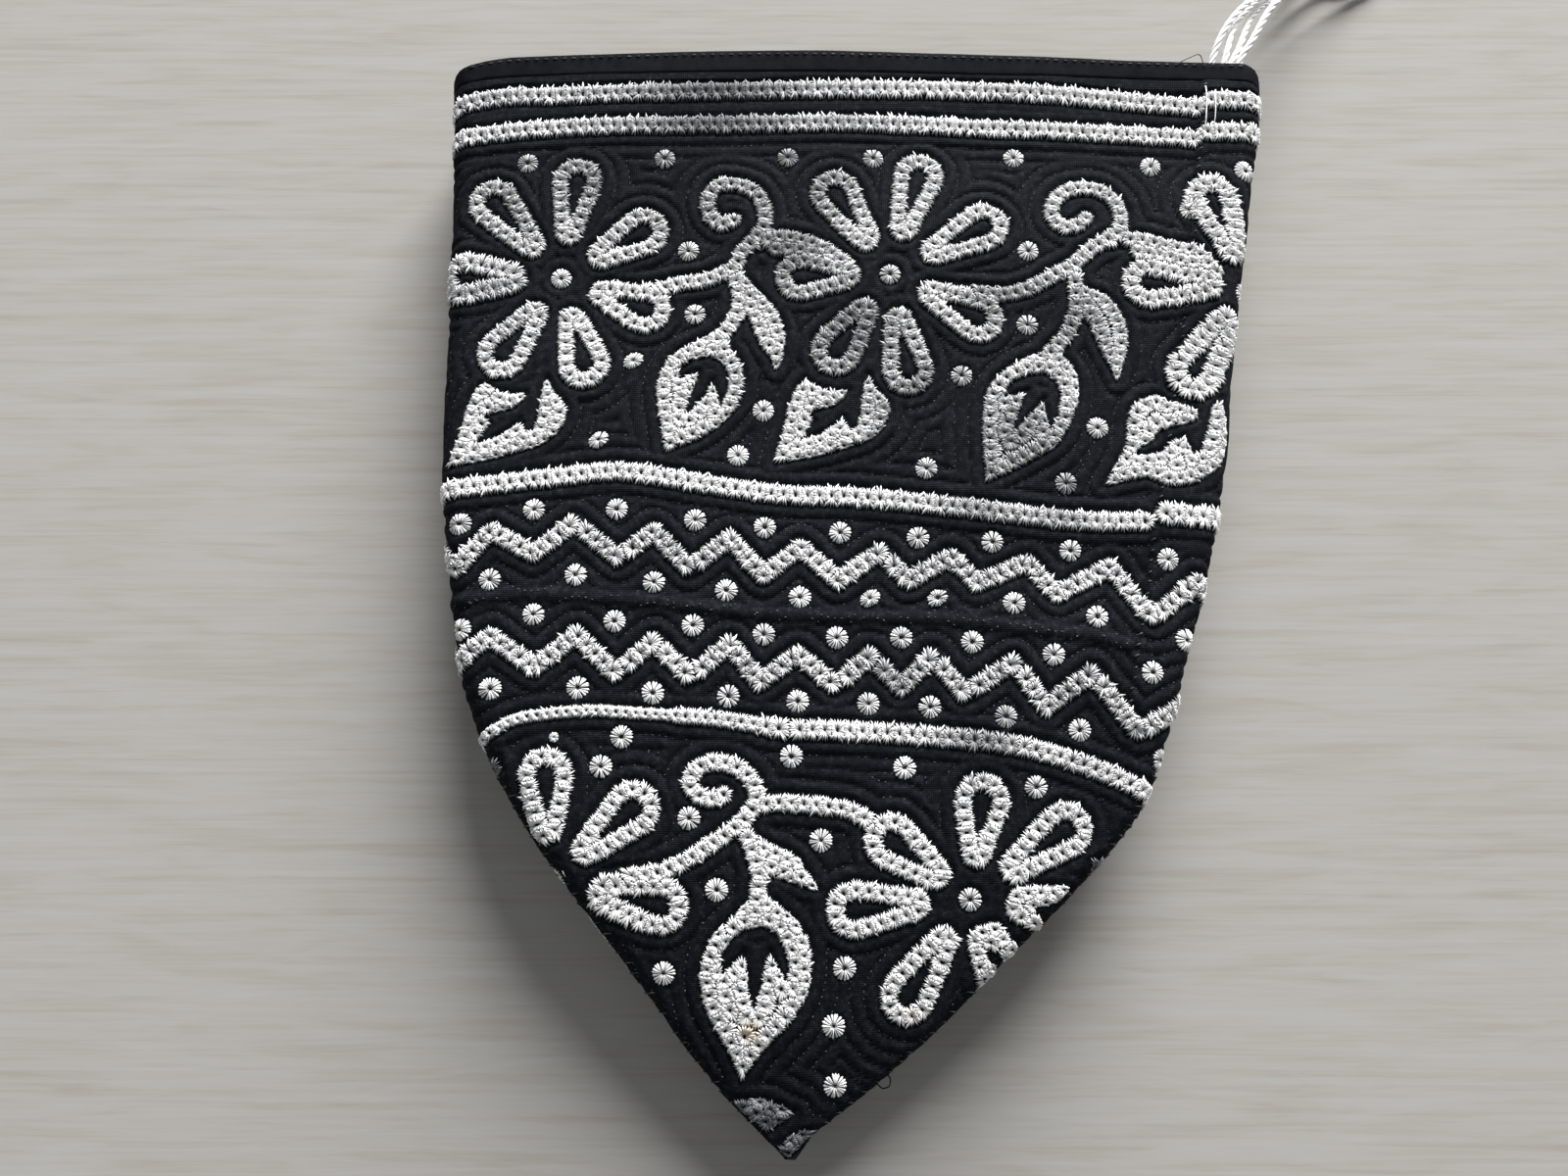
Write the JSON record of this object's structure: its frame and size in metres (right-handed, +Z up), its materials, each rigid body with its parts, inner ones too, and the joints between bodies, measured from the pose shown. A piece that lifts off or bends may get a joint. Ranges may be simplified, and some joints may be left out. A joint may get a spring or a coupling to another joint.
{
  "type": "embroidered kuma cap",
  "caption": "Quilted cotton cap with a four-petal crown, eyelet embroidery and a bound rim, folded flat.",
  "frame": {"origin": "on the surface that the folded cap lies on, under the middle of its outline", "axes": "+Z up out of the front panel, +Y from the crown's tip towards the open rim, +X to the wearer's side that carries the join seam"},
  "size_m": [0.1787, 0.2257, 0.0194],
  "materials": {
    "black_quilted_cotton": "black cotton with corded quilting and a fine plain weave",
    "black_binding_tape": "black cotton tape and black sewing thread",
    "white_cotton_thread": "white embroidery thread and white cotton string with a soft sheen"
  },
  "bodies": {
    "root": {"quilted_shell": "black_quilted_cotton", "rim_binding": "black_binding_tape", "rim_string_a": "white_cotton_thread", "rim_string_b": "white_cotton_thread"}
  },
  "joints": []
}
